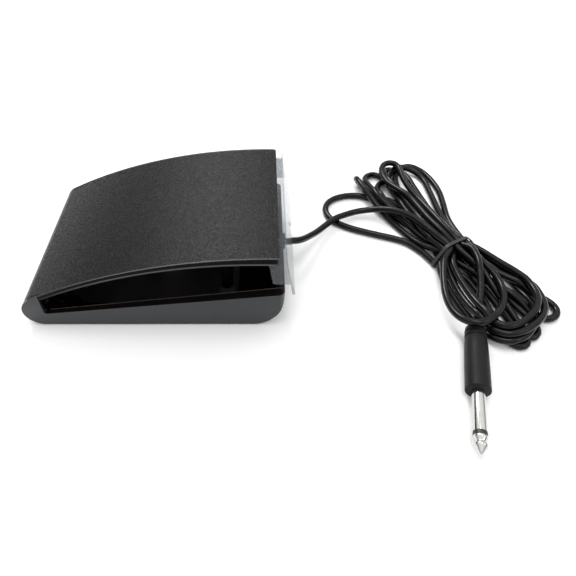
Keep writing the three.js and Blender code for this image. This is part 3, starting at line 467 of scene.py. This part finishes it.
class Shader:
    """A material's node tree, with a short way to add and join nodes. Lengths are in millimetres."""

    def __init__(self, name):
        self.material = bpy.data.materials.new(name)
        self.material.use_nodes = True
        self.tree = self.material.node_tree
        self.surface = self.tree.nodes["Principled BSDF"]
        place = self.add("ShaderNodeTexCoord").outputs["Object"]
        scale = self.add("ShaderNodeVectorMath", operation="SCALE")
        scale.inputs["Scale"].default_value = 1 / MM
        self.join(place, scale.inputs[0])
        self.place = scale.outputs[0]

    def add(self, kind, **settings):
        node = self.tree.nodes.new(kind)
        for key, value in settings.items():
            setattr(node, key, value)
        return node

    def join(self, output, socket):
        self.tree.links.new(output, socket)

    def noise(self, size, detail=2, roughness=0.5, stretch=None):
        node = self.add("ShaderNodeTexNoise")
        node.inputs["Scale"].default_value = 1 / size
        node.inputs["Detail"].default_value = detail
        node.inputs["Roughness"].default_value = roughness
        place = self.place
        if stretch:
            mapping = self.add("ShaderNodeMapping")
            mapping.inputs["Scale"].default_value = stretch
            self.join(place, mapping.inputs["Vector"])
            place = mapping.outputs[0]
        self.join(place, node.inputs["Vector"])
        return node.outputs["Fac"]

    def ramp(self, value, low, high, low_value=0.0, high_value=1.0):
        node = self.add("ShaderNodeMapRange", clamp=True, interpolation_type="SMOOTHSTEP")
        settings = {"From Min": low, "From Max": high, "To Min": low_value, "To Max": high_value}
        for socket, number in settings.items():
            node.inputs[socket].default_value = number
        self.join(value, node.inputs["Value"])
        return node.outputs["Result"]

    def parts_of(self, vector):
        node = self.add("ShaderNodeSeparateXYZ")
        self.join(vector, node.inputs[0])
        return node.outputs

    def facing(self):
        """The surface's true direction, in the piece's own axes."""
        turn = self.add("ShaderNodeVectorTransform", vector_type="NORMAL",
                        convert_from="WORLD", convert_to="OBJECT")
        self.join(self.add("ShaderNodeNewGeometry").outputs["Normal"], turn.inputs[0])
        return self.parts_of(turn.outputs[0])

    def mix(self, factor, first, second):
        node = self.add("ShaderNodeMix", data_type="RGBA")
        self.join(factor, node.inputs["Factor"])
        for socket, colour in ((node.inputs[6], first), (node.inputs[7], second)):
            if isinstance(colour, tuple):
                socket.default_value = (*colour, 1)
            else:
                self.join(colour, socket)
        return node.outputs[2]

    def maths(self, operation, first, second=0):
        node = self.add("ShaderNodeMath", operation=operation)
        for socket, value in zip(node.inputs, (first, second)):
            if isinstance(value, (int, float)):
                socket.default_value = value
            else:
                self.join(value, socket)
        return node.outputs[0]

    def plus(self, first, second):
        return self.maths("ADD", first, second)

    def minus(self, first, second):
        return self.maths("SUBTRACT", first, second)

    def times(self, first, second):
        return self.maths("MULTIPLY", first, second)

    def larger(self, first, second):
        return self.maths("MAXIMUM", first, second)

    def size_of(self, value):
        return self.maths("ABSOLUTE", value)

    def bump(self, height, depth):
        node = self.add("ShaderNodeBump")
        node.inputs["Distance"].default_value = depth * MM
        self.join(height, node.inputs["Height"])
        return node.outputs["Normal"]

    def finish(self, colour, roughness, normal, **values):
        """Joins the surface up; any further value is named after its input, with _ for a space."""
        self.join(colour, self.surface.inputs["Base Color"])
        self.join(roughness, self.surface.inputs["Roughness"])
        self.join(normal, self.surface.inputs["Normal"])
        for name, value in values.items():
            self.surface.inputs[name.replace("_", " ")].default_value = value
        return self.material


def shade(colour, factor):
    return tuple(min(1, part * factor) for part in colour)


# The pedal's outer curves, as its materials need them to tell one face from another.
HALF_WIDTH = 47
NOSE_TIP_X = -69.5
TOP_RADIUS, TOP_CENTRE_X, TOP_CENTRE_Z = 269.72, 57.5, -221.72
# The lower edge of the treadle's side lip, a curve from front to rear that is drawn towards the middle.
LIP_FRONT, LIP_MIDDLE, LIP_REAR = (-58.4, 19.2), (-2.0, 46.2), (61.0, 44.0)
# The land is the base's flat rim. It rises and widens from the nose to the rear.
LAND_HEIGHT, LAND_SLOPE = 7.66, 0.1186
LAND_WIDTH, LAND_WIDENING = 3.0, 0.01852


def depth_under_top(s, x, z):
    """How far a place lies inside the treadle's curved top."""
    across = s.maths("POWER", s.minus(x, TOP_CENTRE_X), 2)
    upward = s.maths("POWER", s.minus(z, TOP_CENTRE_Z), 2)
    return s.minus(TOP_RADIUS, s.maths("SQRT", s.plus(across, upward)))


def height_over_lip_edge(s, x, z):
    """How high a place lies above the lower edge of the treadle's side lip."""
    start_x, start_z = LIP_FRONT
    bow_x, bow_z = LIP_MIDDLE
    end_x, end_z = LIP_REAR
    half_run, bend = bow_x - start_x, end_x - 2 * bow_x + start_x
    inner = s.plus(s.times(s.minus(x, start_x), bend), half_run ** 2)
    along = s.maths("DIVIDE", s.minus(s.maths("SQRT", inner), half_run), bend)
    lift = s.plus(s.times(along, end_z - 2 * bow_z + start_z), 2 * (bow_z - start_z))
    return s.minus(z, s.plus(s.times(along, lift), start_z))


def edge_highlights_and_wear(s, x, z, out, sideways, on_lip):
    """Painted highlight lines, which also stand for edge wear: the treadle's side ridges and its lips'
    lower beads, fainter towards the nose.
    """
    ridge = s.times(s.ramp(out, HALF_WIDTH - 1.15, HALF_WIDTH - 0.75),
                    s.ramp(out, HALF_WIDTH - 0.5, HALF_WIDTH - 0.2, 1, 0))
    ridge = s.times(ridge, s.ramp(sideways, 0.5, 0.8, 1, 0))
    bead = s.times(on_lip, s.ramp(height_over_lip_edge(s, x, z), 0.75, 1.15, 1, 0))
    return s.times(s.larger(ridge, bead), s.ramp(x, NOSE_TIP_X + 4, NOSE_TIP_X + 50, 0.15, 1))


def treadle_plastic():
    """Black plastic: grained top, rounded edges lightened by painted highlight that also stands for wear, a
    smoother dark lip, and an underside painted near-black as shade.
    """
    s = Shader("treadle_plastic")
    x, y, z = s.parts_of(s.place)
    out = s.size_of(y)
    sideways = s.size_of(s.facing()[1])
    pebbles = s.add("ShaderNodeTexVoronoi", feature="SMOOTH_F1")
    pebbles.inputs["Scale"].default_value = 1 / 0.6
    pebbles.inputs["Smoothness"].default_value = 0.6
    s.join(s.place, pebbles.inputs["Vector"])
    grain = s.plus(pebbles.outputs["Distance"], s.times(s.noise(0.35, detail=2), 0.5))
    rubbed = s.noise(26, detail=2)
    base = (0.0028, 0.0029, 0.0029)
    colour = s.mix(s.ramp(rubbed, 0.3, 0.8), base, shade(base, 1.2))
    colour = s.mix(s.ramp(grain, 0.5, 0.95, 0.6, 0), colour, shade(base, 2.6))
    on_lip = s.times(s.ramp(out, HALF_WIDTH - 0.35, HALF_WIDTH - 0.1), s.ramp(sideways, 0.4, 0.8))
    colour = s.mix(on_lip, colour, (0.0030, 0.0030, 0.0032))
    # Painted highlight: pale grey lines along the side ridges and lip beads, which also stand for wear.
    lit_and_worn = edge_highlights_and_wear(s, x, z, out, sideways, on_lip)
    colour = s.mix(s.times(lit_and_worn, 0.9), colour, (0.085, 0.088, 0.086))
    # Painted shade: the faces under the treadle's top, seen through the slot, are darkened to near-black,
    # duller and less glossy.
    inside = s.times(s.ramp(depth_under_top(s, x, z), 2.2, 2.5),
                     s.ramp(out, HALF_WIDTH - 1.6, HALF_WIDTH - 1.3, 1, 0))
    inside = s.times(inside, s.ramp(x, NOSE_TIP_X + 9, NOSE_TIP_X + 11))
    colour = s.mix(inside, colour, (0.0015, 0.0013, 0.0012))
    roughness = s.ramp(s.noise(1.4, detail=3), 0.3, 0.7, 0.24, 0.31)
    roughness = s.plus(roughness, s.times(inside, 0.4))
    height = s.times(grain, s.ramp(sideways, 0.25, 0.6, 1, 0))
    plain = s.larger(inside, s.times(on_lip, 0.8))
    s.join(s.ramp(plain, 0, 1, 0.12, 0.03), s.surface.inputs["Specular IOR Level"])
    return s.finish(colour, roughness, s.bump(height, 0.15))


def within_tray(s, x, z, out):
    """Where a place lies between the base's walls, above its floor."""
    within = s.times(s.ramp(out, HALF_WIDTH - 2.1, HALF_WIDTH - 1.7, 1, 0), s.ramp(z, 4.6, 5.0))
    within = s.times(within, s.ramp(x, 61.6, 61.9, 1, 0))
    return s.times(within, s.ramp(x, NOSE_TIP_X + 2.0, NOSE_TIP_X + 2.4))


def land_glint(s, x, out, upward, below_land):
    """The bright line along the land's inner edge."""
    land_width = s.plus(s.times(s.minus(x, NOSE_TIP_X), LAND_WIDENING), LAND_WIDTH)
    from_edge = s.minus(s.minus(out, HALF_WIDTH), s.times(land_width, -1))
    glint = s.times(s.ramp(from_edge, -0.1, 0.15), s.ramp(from_edge, 0.35, 0.7, 1, 0))
    glint = s.times(glint, s.ramp(upward, 0.2, 0.5))
    return s.times(glint, s.ramp(s.size_of(below_land), 0.5, 0.9, 1, 0))


def shell_plastic():
    """Dark blue-grey satin plastic; the rim's land, the other upward faces and the tray's inside are
    painted brown-black as the treadle's shade and its dark reflection, and the inside further down is
    painted near-black as shade.
    """
    s = Shader("shell_plastic")
    x, y, z = s.parts_of(s.place)
    out = s.size_of(y)
    upward = s.facing()[2]
    cloud = s.noise(18, detail=3)
    marks = s.ramp(s.noise(1.2, detail=2, stretch=(0.12, 1, 1)), 0.66, 0.74)
    base = (0.020, 0.0235, 0.0255)
    colour = s.mix(cloud, shade(base, 0.85), shade(base, 1.2))
    colour = s.mix(s.times(marks, 0.25), colour, shade(base, 1.8))
    cheek = s.times(s.ramp(x, NOSE_TIP_X + 8, NOSE_TIP_X + 12.5, 1, 0.3), s.ramp(z, 12, 19))
    colour = s.mix(s.times(cheek, 0.75), colour, (0.0045, 0.0045, 0.0048))
    within = within_tray(s, x, z, out)
    # Painted shade: upward faces and the tray's inside go brown-black, for the treadle's shade and its dark
    # reflection in the glossy land.
    land = s.larger(s.ramp(upward, 0.45, 0.85), within)
    colour = s.mix(land, colour, (0.0055, 0.0042, 0.0040))
    land_height = s.plus(s.times(s.minus(x, NOSE_TIP_X), LAND_SLOPE), LAND_HEIGHT)
    below_land = s.minus(land_height, z)
    # Painted shade: the tray's inside, away from the land, is darkened to near-black and made less glossy.
    tray_painted_shade = s.larger(s.times(within, s.ramp(below_land, 0.4, 1.2)),
                      s.times(within, s.ramp(below_land, -1.2, -0.4, 1, 0)))
    colour = s.mix(tray_painted_shade, colour, (0.0012, 0.0010, 0.0010))
    glint = land_glint(s, x, out, upward, below_land)
    colour = s.mix(s.times(glint, 0.8), colour, (0.10, 0.085, 0.075))
    roughness = s.plus(s.ramp(cloud, 0.3, 0.7, 0.30, 0.40), s.times(marks, 0.12))
    roughness = s.minus(roughness, s.times(land, 0.1))
    s.join(s.ramp(tray_painted_shade, 0, 1, 0.45, 0.04), s.surface.inputs["Specular IOR Level"])
    return s.finish(colour, roughness, s.bump(s.noise(0.45, detail=2), 0.03))


def inner_plastic():
    s = Shader("inner_plastic")
    flow = s.noise(9, detail=3)
    base = (0.005, 0.0045, 0.0045)
    colour = s.mix(flow, shade(base, 0.8), shade(base, 1.4))
    return s.finish(colour, s.ramp(flow, 0.3, 0.7, 0.45, 0.6), s.bump(s.noise(0.6), 0.03))


def rubber():
    s = Shader("rubber")
    dust = s.noise(3, detail=4, roughness=0.7)
    colour = s.mix(s.ramp(dust, 0.5, 0.75), (0.011, 0.011, 0.011), (0.030, 0.029, 0.028))
    return s.finish(colour, s.ramp(dust, 0.3, 0.7, 0.75, 0.92), s.bump(s.noise(0.5, detail=3), 0.05))


def metal(name, base, roughness, scratch_size, stretch):
    """A plated or bare metal with fine scratches along the piece and patches of duller metal."""
    s = Shader(name)
    scratches = s.noise(scratch_size, detail=3, stretch=stretch)
    patches = s.noise(4, detail=3)
    colour = s.mix(patches, shade(base, 0.86), shade(base, 1.08))
    dull = s.plus(s.ramp(patches, 0.3, 0.75, roughness, roughness + 0.1),
                  s.ramp(scratches, 0.6, 0.75, 0, 0.1))
    return s.finish(colour, dull, s.bump(scratches, 0.01), Metallic=1.0)


def wire_insulation():
    s = Shader("wire_insulation")
    cloud = s.noise(2, detail=2)
    colour = s.mix(cloud, (0.22, 0.035, 0.03), (0.32, 0.06, 0.045))
    return s.finish(colour, s.ramp(cloud, 0.3, 0.7, 0.3, 0.42), s.bump(s.noise(0.4), 0.02))


def clear_plastic():
    """Thin clear sheet: grey-tinted, glossy, a little milky with fine scuffs."""
    s = Shader("clear_plastic")
    scuffs = s.ramp(s.noise(0.9, detail=4, roughness=0.7, stretch=(1, 0.25, 1)), 0.5, 0.78)
    haze = s.noise(12, detail=2)
    tint = s.mix(haze, (0.13, 0.14, 0.15), (0.20, 0.215, 0.225))
    s.finish(tint, s.ramp(scuffs, 0, 1, 0.08, 0.3), s.bump(haze, 0.02), IOR=1.49)
    film = s.plus(s.times(scuffs, 0.10), 0.22)
    edge = s.add("ShaderNodeLayerWeight")
    edge.inputs["Blend"].default_value = 0.35
    film = s.plus(film, s.times(s.maths("POWER", edge.outputs["Facing"], 2), 0.5))
    through = s.add("ShaderNodeBsdfTransparent")
    through.inputs["Color"].default_value = (0.90, 0.91, 0.92, 1)
    blend = s.add("ShaderNodeMixShader")
    s.join(film, blend.inputs[0])
    s.join(through.outputs[0], blend.inputs[1])
    s.join(s.surface.outputs[0], blend.inputs[2])
    s.join(blend.outputs[0], s.tree.nodes["Material Output"].inputs["Surface"])
    return s.material


def cord_pvc():
    """Glossy black PVC jacket with a slight drawn ripple and a little dust."""
    s = Shader("cord_pvc")
    ripple = s.noise(5, detail=2)
    dust = s.ramp(s.noise(0.8, detail=4, roughness=0.7), 0.62, 0.78)
    base = (0.0022, 0.0024, 0.0026)
    colour = s.mix(s.times(dust, 0.3), base, (0.020, 0.021, 0.021))
    roughness = s.plus(s.ramp(ripple, 0.3, 0.7, 0.19, 0.26), s.times(dust, 0.12))
    return s.finish(colour, roughness, s.bump(ripple, 0.08), Specular_IOR_Level=0.24)


def tie_plastic():
    s = Shader("tie_plastic")
    cloud = s.noise(1.5, detail=3)
    colour = s.mix(cloud, (0.014, 0.014, 0.014), (0.028, 0.029, 0.029))
    return s.finish(colour, s.ramp(cloud, 0.3, 0.7, 0.38, 0.5), s.bump(s.noise(0.3), 0.03))


def grip_plastic():
    s = Shader("plug_grip_plastic")
    grain = s.noise(0.35, detail=3)
    cloud = s.noise(7, detail=2)
    colour = s.mix(cloud, (0.0065, 0.0065, 0.0068), (0.010, 0.0102, 0.0105))
    roughness = s.ramp(cloud, 0.3, 0.7, 0.38, 0.5)
    return s.finish(colour, roughness, s.bump(grain, 0.05), Specular_IOR_Level=0.16)


def insulator_plastic():
    s = Shader("plug_insulator_plastic")
    cloud = s.noise(1, detail=2)
    colour = s.mix(cloud, (0.010, 0.010, 0.010), (0.018, 0.018, 0.018))
    return s.finish(colour, s.ramp(cloud, 0.3, 0.7, 0.35, 0.45), s.bump(cloud, 0.02))


MATERIALS = {
    "treadle_plastic": treadle_plastic(),
    "shell_plastic": shell_plastic(),
    "inner_plastic": inner_plastic(),
    "rubber": rubber(),
    "steel": metal("steel", (0.52, 0.53, 0.54), 0.26, 0.5, (1, 0.2, 1)),
    "brass": metal("brass", (0.62, 0.48, 0.24), 0.24, 0.4, (0.2, 1, 1)),
    "wire_insulation": wire_insulation(),
    "clear_plastic": clear_plastic(),
    "cord_pvc": cord_pvc(),
    "plug_grip_plastic": grip_plastic(),
    "plug_metal": metal("plug_metal", (0.60, 0.595, 0.58), 0.10, 0.3, (1, 0.1, 1)),
    "plug_insulator_plastic": insulator_plastic(),
}
TIE_MATERIAL = tie_plastic()


# ---- CAD nodes that stay: their material, and soft edges ------------------------------------

SOFT_EDGES = {"treadle": 0.45, "base_shell": 0.35, "bottom_cover": 0.3, "foot_pad": 0.4}
DEFAULT_SOFT_EDGE = 0.12
SHARP_ANGLE = math.radians(32)
FLAT_ANGLE = math.radians(0.6)


def soften(node, width):
    """Merges flat faces, rounds the sharp edges and shades the rest smooth."""
    flatten = node.modifiers.new("flatten", "DECIMATE")
    flatten.decimate_type = "DISSOLVE"
    flatten.angle_limit = FLAT_ANGLE
    edges = node.modifiers.new("soft_edges", "BEVEL")
    edges.limit_method = "ANGLE"
    edges.angle_limit = SHARP_ANGLE
    edges.width = width * MM
    edges.segments = 3
    edges.use_clamp_overlap = True
    edges.harden_normals = True
    node.data.shade_smooth()
    node.data.set_sharp_from_angle(angle=SHARP_ANGLE)


def dress_cad_nodes():
    slots = {entry["node"]: entry["material_slot"] for entry in frame["record"]["subparts"]}
    for name, node in NODES.items():
        material = MATERIALS[slots[name]]
        node.data.materials.clear()
        node.data.materials.append(material)
        soften(node, SOFT_EDGES.get(name, DEFAULT_SOFT_EDGE))


# ---- Plug and tie ---------------------------------------------------------------------------

TURNED_SIDES = 64
CORNER_POINTS = 4
GRIP_GROOVES = (3, 6)  # from the grip's rear end
SHAFT_RADIUS = 3.175
SHAFT_LENGTH = 31.75

# The outlines of the plug's metal and its ring: distance past the shoulder, and radius.
SLEEVE_OUTLINE = [(-0.5, 1), (-0.5, SHAFT_RADIUS), (21.5, SHAFT_RADIUS), (21.5, 1)]
RING_OUTLINE = [(21.3, 1), (21.3, 3.22), (23.5, 3.22), (23.5, 1)]
TIP_OUTLINE = [
    (23.3, 1), (23.3, SHAFT_RADIUS), (24.4, SHAFT_RADIUS), (26.2, 2.1), (27.2, 3.1), (28.2, 3.1),
    (31.1, 1.1), (SHAFT_LENGTH, 0.5), (SHAFT_LENGTH, 0.05),
]


def closed_piece(name, points, faces, material):
    """A closed mesh with its faces turned outward and shaded smooth."""
    mesh = bpy.data.meshes.new(name)
    mesh.from_pydata(points, [], faces)
    mesh.validate()
    fix = bmesh.new()
    fix.from_mesh(mesh)
    bmesh.ops.recalc_face_normals(fix, faces=fix.faces)
    fix.to_mesh(mesh)
    fix.free()
    mesh.shade_smooth()
    mesh.materials.append(material)
    return link(bpy.data.objects.new(name, mesh))


def turned_piece(name, profile, material):
    """A piece turned about the plug's axis, from (distance along it, radius) pairs."""
    side_way = np.array([-PLUG_AXIS[1], PLUG_AXIS[0], 0])
    upward = np.array([0, 0, 1])
    points, faces = [], []
    for along, radius in profile:
        for k in range(TURNED_SIDES):
            angle = 2 * math.pi * k / TURNED_SIDES
            place = PLUG_SHOULDER + PLUG_AXIS * along
            place = place + (side_way * math.cos(angle) + upward * math.sin(angle)) * radius
            points.append(tuple(place * MM))
    last_ring = (len(profile) - 1) * TURNED_SIDES
    for ring in range(0, last_ring, TURNED_SIDES):
        for k in range(TURNED_SIDES):
            a, b = ring + k, ring + (k + 1) % TURNED_SIDES
            faces.append((a, b, b + TURNED_SIDES, a + TURNED_SIDES))
    faces.append(tuple(range(TURNED_SIDES))[::-1])
    faces.append(tuple(range(last_ring, last_ring + TURNED_SIDES)))
    piece = closed_piece(name, points, faces, material)
    piece.data.set_sharp_from_angle(angle=SHARP_ANGLE)
    return piece


def rounded(profile, radius):
    """The same profile with each inner corner rounded."""
    points = [np.array(p, float) for p in profile]
    out = [tuple(points[0])]
    for before, corner, after in zip(points, points[1:], points[2:]):
        back, forth = before - corner, after - corner
        cut = min(radius, np.linalg.norm(back) * 0.45, np.linalg.norm(forth) * 0.45)
        a = corner + back / np.linalg.norm(back) * cut
        b = corner + forth / np.linalg.norm(forth) * cut
        for t in np.linspace(0, 1, CORNER_POINTS):
            out.append(tuple((1 - t) ** 2 * a + 2 * t * (1 - t) * corner + t * t * b))
    return out + [tuple(points[-1])]


def grip_outline():
    """The grip from its rear end to the shoulder, with its grooves."""
    outline = [(-GRIP_LENGTH, 2.2), (-GRIP_LENGTH, 5.0)]
    for groove in GRIP_GROOVES:
        start = groove - GRIP_LENGTH
        outline += [(start, 5.45), (start + 0.1, 4.75), (start + 0.9, 4.75), (start + 1, 5.45)]
    return outline + [(-26, 5.8), (-14, 6), (0, 6.05), (0, 3.2)]


def make_plug():
    pieces = [
        ("plug_grip_skin", grip_outline(), 0.5, "plug_grip_plastic", ["plug_grip"]),
        ("plug_sleeve_metal", SLEEVE_OUTLINE, 0.2, "plug_metal", ["plug_sleeve"]),
        ("plug_insulator_ring", RING_OUTLINE, 0.12, "plug_insulator_plastic", ["plug_insulator"]),
        ("plug_tip_metal", TIP_OUTLINE, 0.3, "plug_metal", ["plug_tip"]),
    ]
    made = []
    for name, outline, corner_radius, slot, nodes in pieces:
        piece = turned_piece(name, rounded(outline, corner_radius), MATERIALS[slot])
        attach(piece, "base")
        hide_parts(*nodes)
        made.append(piece)
    return made


def turns_inward(a, b, c):
    """Whether the way from a past b to c is straight or clockwise."""
    return np.cross(np.subtract(b, a), np.subtract(c, a)) <= 0


def hull(points):
    """The convex outline of points in the plane, anticlockwise."""
    ordered = sorted(map(tuple, points))
    halves = []
    for run in (ordered, ordered[::-1]):
        half = []
        for point in run:
            while len(half) > 1 and turns_inward(half[-2], half[-1], point):
                half.pop()
            half.append(point)
        halves.append(half[:-1])
    return halves[0] + halves[1]


TIE_THICKNESS = 1.0
TIE_WIDTH = 2.2
TIE_GAP = 0.05
TIE_POINTS = 120
TIE_SQUARENESS = 0.6


def tie_path(line):
    """The band's middle line round all the strands at the waist, as places across it and up."""
    from_tie = line[:, :2] - TIE_CENTRE
    waist = (abs(from_tie @ ALONG) < CORD_STEP) & (abs(from_tie @ ACROSS) < TIE_HALF_SPAN + 1)
    angles = np.linspace(0, 2 * math.pi, 24, endpoint=False)
    ring = np.column_stack([np.cos(angles), np.sin(angles)]) * (CORD_RADIUS + TIE_THICKNESS / 2 + TIE_GAP)
    centres = np.column_stack([from_tie[waist] @ ACROSS, line[waist, 2]])
    outline = np.array(hull(np.vstack([centre + ring for centre in centres])))
    outline[:, 1] = np.maximum(outline[:, 1], TIE_THICKNESS / 2)
    closed = np.vstack([outline, outline[:1]])
    along = np.append(0, np.cumsum(np.linalg.norm(np.diff(closed, axis=0), axis=1)))
    at = np.linspace(0, along[-1], TIE_POINTS, endpoint=False)
    path = np.column_stack([np.interp(at, along, closed[:, k]) for k in range(2)])
    for _ in range(6):
        path = (np.roll(path, 1, 0) + 2 * path + np.roll(path, -1, 0)) / 4
    return path


def tie_section():
    """The band's rounded oblong section, as places along the strands and outward."""
    section = []
    for angle in np.linspace(0, 2 * math.pi, 16, endpoint=False):
        lengthwise, depth = (math.copysign(abs(part) ** TIE_SQUARENESS, part)
                             for part in (math.cos(angle), math.sin(angle)))
        section.append((lengthwise * TIE_WIDTH / 2, depth * TIE_THICKNESS / 2))
    return section


def make_tie(line):
    """A thin band drawn round all the strands that pass the hank's waist."""
    path, section = tie_path(line), tie_section()
    way = np.roll(path, -1, 0) - np.roll(path, 1, 0)
    outward = np.column_stack([way[:, 1], -way[:, 0]]) / np.linalg.norm(way, axis=1)[:, None]
    points, faces = [], []
    for place, out in zip(path, outward):
        for lengthwise, depth in section:
            flat = TIE_CENTRE + ACROSS * (place[0] + out[0] * depth) + ALONG * lengthwise
            points.append(tuple(np.append(flat, max(place[1] + out[1] * depth, 0)) * MM))
    sides, rings = len(section), len(path)
    for i in range(rings):
        this_ring, next_ring = i * sides, (i + 1) % rings * sides
        for k in range(sides):
            beside = (k + 1) % sides
            faces.append((this_ring + k, this_ring + beside, next_ring + beside, next_ring + k))
    tie = closed_piece("tie_band", points, faces, TIE_MATERIAL)
    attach(tie, "base")
    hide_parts("hank_tie")
    return tie


# ---- Assembly -------------------------------------------------------------------------------

make_camera()
cord, cord_line = make_cord(MATERIALS["cord_pvc"])
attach(cord, "base")
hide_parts("cord_lead", "cord_loose_loop", "cord_hank")
tie_band = make_tie(cord_line)
plug_pieces = make_plug()
dress_cad_nodes()
make_floor()
make_sky()
make_lights()
bpy.context.scene.view_settings.view_transform = "Standard"
